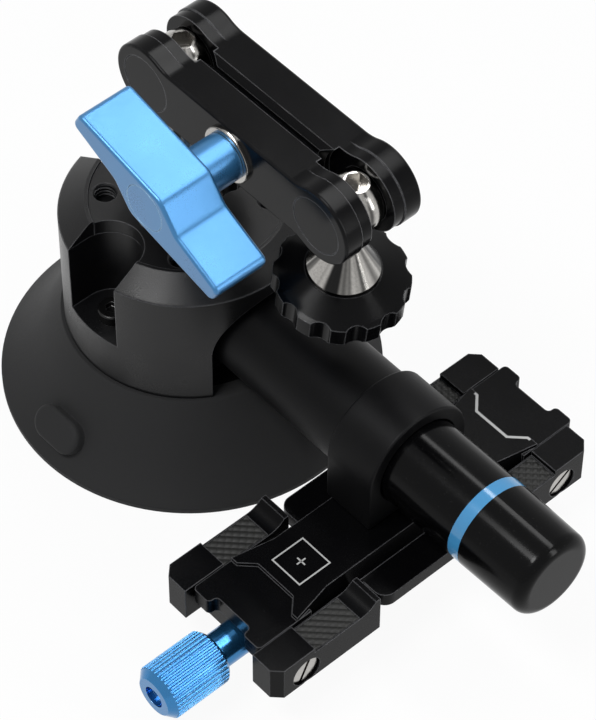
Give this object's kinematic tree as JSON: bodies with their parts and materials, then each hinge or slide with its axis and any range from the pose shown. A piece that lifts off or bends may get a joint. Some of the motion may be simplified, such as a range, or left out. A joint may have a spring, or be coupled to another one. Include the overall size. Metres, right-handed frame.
{
  "type": "vacuum cup camera mount",
  "caption": "Pump-type vacuum suction cup mount with a double-ball arm, wing locking knob, scalloped lock wheels and a rail clamp on the pump tube.",
  "frame": {"origin": "on the cup's axis, in the plane where the cup's lip meets the surface", "axes": "+Z along the cup's axis, away from the surface; +X along the pump towards its plunger; the wing knob and the clamp's knob point to -Y"},
  "size_m": [0.208, 0.1495, 0.1422],
  "materials": {
    "cup_rubber": "soft matte black rubber",
    "grip_rubber": "ribbed matte black rubber",
    "drum_black": "fine satin black moulding",
    "housing_black": "fine satin black anodised",
    "tube_black": "fine-grained black plastic",
    "plunger_black": "glossy black plastic",
    "ring_blue": "glossy light blue plastic",
    "arm_black": "glossy black anodised",
    "clamp_black": "satin black anodised",
    "knob_blue": "light blue anodised, bead blasted",
    "bright_steel": "bright turned steel",
    "screw_black": "black oxide"
  },
  "bodies": {
    "base": {"rubber_cup": "cup_rubber", "backing_plate": "tube_black", "base_housing": "drum_black", "housing_shoulder": "drum_black", "housing_screws": "screw_black", "top_disc": "housing_black", "disc_screws": "screw_black", "centre_post": "housing_black", "pump_tube": "tube_black", "air_duct": "tube_black", "check_valve": "cup_rubber", "return_spring": "bright_steel", "foot_collar": "tube_black", "clamp_bar": "clamp_black", "foot_screws": "screw_black", "far_left_jaw": "clamp_black", "far_right_jaw": "clamp_black", "far_grip_pads": "grip_rubber", "far_crosspiece": "clamp_black", "far_jaw_screws": "bright_steel", "fork_screws": "screw_black"},
    "plunger": {"plunger_barrel": "plunger_black", "indicator_ring": "ring_blue", "plunger_cap": "plunger_black", "piston": "tube_black", "piston_seal": "cup_rubber"},
    "lower_stud": {"lower_ball_stud": "bright_steel"},
    "lower_wheel": {"lower_lock_wheel": "arm_black", "lower_wheel_pad": "cup_rubber"},
    "arm": {"back_plate": "arm_black", "back_caps": "arm_black", "clamp_nut": "bright_steel"},
    "front": {"front_plate": "arm_black", "front_caps": "arm_black", "knob_washer": "bright_steel"},
    "wing": {"wing_knob": "knob_blue", "knob_inlay": "knob_blue", "clamp_bolt": "bright_steel"},
    "free_stud": {"free_ball_stud": "bright_steel"},
    "free_wheel": {"free_lock_wheel": "arm_black", "free_wheel_pad": "cup_rubber"},
    "near_fork": {"near_left_jaw": "clamp_black", "near_right_jaw": "clamp_black", "near_crosspiece": "clamp_black", "near_jaw_screws": "bright_steel", "near_grip_pads": "grip_rubber"},
    "clamp_screw": {"clamp_knob": "knob_blue", "clamp_shaft": "bright_steel", "shaft_clip": "bright_steel"}
  },
  "joints": [
    {"name": "plunger_slide", "type": "slide", "parent": "base", "child": "plunger", "axis": [1, 0, 0], "range_m": [-0.028, 0], "stiffness_N_per_m": 250, "springref_m": 0.01, "deforming": ["return_spring"]},
    {"name": "arm_pan", "type": "hinge", "parent": "base", "child": "lower_stud", "pos_m": [0, 0, 0.128], "axis": [0, 0, 1], "continuous": true},
    {"name": "lower_wheel_turn", "type": "hinge", "parent": "lower_stud", "child": "lower_wheel", "pos_m": [0, 0, 0.0927], "axis": [0, 0, 1], "continuous": true},
    {"name": "arm_tilt", "type": "hinge", "parent": "lower_stud", "child": "arm", "pos_m": [0, 0, 0.128], "axis": [0, 1, 0], "range_deg": [-90, 5]},
    {"name": "front_plate_slide", "type": "slide", "parent": "arm", "child": "front", "axis": [0, -1, 0], "range_m": [0, 0.00075]},
    {"name": "wing_turn", "type": "hinge", "parent": "front", "child": "wing", "pos_m": [0.03425, -0.03, 0.128], "axis": [0, -1, 0], "range_deg": [0, 270]},
    {"name": "stud_swing", "type": "hinge", "parent": "arm", "child": "free_stud", "pos_m": [0.0685, 0, 0.128], "axis": [0, 1, 0], "range_deg": [-80, 20]},
    {"name": "free_wheel_turn", "type": "hinge", "parent": "free_stud", "child": "free_wheel", "pos_m": [0.06446, 0, 0.09253], "axis": [0.1132, 0, 0.9936], "continuous": true},
    {"name": "fork_slide", "type": "slide", "parent": "base", "child": "near_fork", "axis": [0, -1, 0], "range_m": [0, 0.005]},
    {"name": "clamp_screw_turn", "type": "hinge", "parent": "near_fork", "child": "clamp_screw", "pos_m": [0.0922, -0.075, 0.0148], "axis": [0, -1, 0], "range_deg": [0, 1800]}
  ],
  "couplings": [
    {"joint": "wing_turn", "follows": "front_plate_slide", "rad_per_m": 6283.2},
    {"joint": "clamp_screw_turn", "follows": "fork_slide", "rad_per_m": 6283.2}
  ]
}
